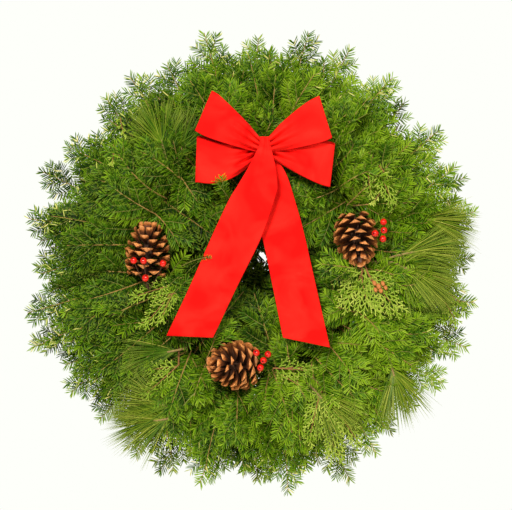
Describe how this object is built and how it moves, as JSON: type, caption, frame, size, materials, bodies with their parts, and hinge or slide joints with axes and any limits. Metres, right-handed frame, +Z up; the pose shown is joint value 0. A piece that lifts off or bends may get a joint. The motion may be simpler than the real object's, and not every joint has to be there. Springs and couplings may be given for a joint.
{
  "type": "decorated evergreen wreath",
  "caption": "Round hanging wreath of fir sprays on a wire ring, with cedar and pine tufts, pine cones with red berries, and a red ribbon bow with long tails.",
  "frame": {"origin": "where a nail or hook bears, inside the top of the ring of wire", "axes": "+Z up as it hangs, -Y the decorated front, +X to the right seen from the front"},
  "size_m": [0.6671, 0.148, 0.6812],
  "materials": {
    "balsam_green": "fresh fir needles, satin",
    "balsam_underside": "fir needles seen from below, satin",
    "cedar_green": "arborvitae scale leaves, satin",
    "pine_green": "white pine needles, satin",
    "pine_cone_scale": "dry cone scales, matt with a little resin gloss",
    "berry_red": "glossy lacquer",
    "red_velvet": "velvet pile, matt",
    "coated_steel_wire": "green coating, satin",
    "paddle_wire": "green lacquer, satin",
    "florist_wire": "green lacquer, satin"
  },
  "bodies": {
    "root": {"ring_frame": "coated_steel_wire", "binding_wire": "paddle_wire", "bow_tie_wire": "florist_wire", "balsam_front_01": "balsam_green", "balsam_front_02": "balsam_green", "balsam_front_03": "balsam_green", "balsam_front_04": "balsam_green", "balsam_front_05": "balsam_green", "balsam_front_06": "balsam_green", "balsam_front_07": "balsam_green", "balsam_front_08": "balsam_green", "balsam_front_09": "balsam_green", "balsam_front_10": "balsam_green", "balsam_front_11": "balsam_green", "balsam_front_12": "balsam_green", "balsam_front_13": "balsam_green", "balsam_front_14": "balsam_green", "balsam_front_15": "balsam_green", "balsam_front_16": "balsam_green", "balsam_back_01": "balsam_underside", "balsam_back_02": "balsam_underside", "balsam_back_03": "balsam_underside", "balsam_back_04": "balsam_underside", "balsam_back_05": "balsam_underside", "balsam_back_06": "balsam_underside", "balsam_back_07": "balsam_underside", "balsam_back_08": "balsam_underside", "balsam_back_09": "balsam_underside", "balsam_back_10": "balsam_underside", "balsam_back_11": "balsam_underside", "balsam_back_12": "balsam_underside", "balsam_back_13": "balsam_underside", "balsam_back_14": "balsam_underside", "balsam_back_15": "balsam_underside", "balsam_back_16": "balsam_underside", "cedar_right": "cedar_green", "cedar_left": "cedar_green", "cedar_lower_left": "cedar_green", "cedar_bottom": "cedar_green", "cedar_lower_right": "cedar_green", "cedar_upper_right": "cedar_green", "pine_upper_left": "pine_green", "pine_left": "pine_green", "pine_lower_left": "pine_green", "pine_lower_right": "pine_green", "pine_right": "pine_green", "pine_far_right": "pine_green", "pine_cone_left": "pine_cone_scale", "pine_cone_right": "pine_cone_scale", "pine_cone_bottom": "pine_cone_scale", "cone_wire_left": "florist_wire", "cone_wire_right": "florist_wire", "cone_wire_bottom": "florist_wire", "berry_pick_left": "berry_red", "berry_pick_right": "berry_red", "berry_pick_bottom": "berry_red", "bow_upper_loops": "red_velvet", "bow_lower_loops": "red_velvet", "bow_tail_left": "red_velvet", "bow_tail_right": "red_velvet"}
  },
  "joints": []
}
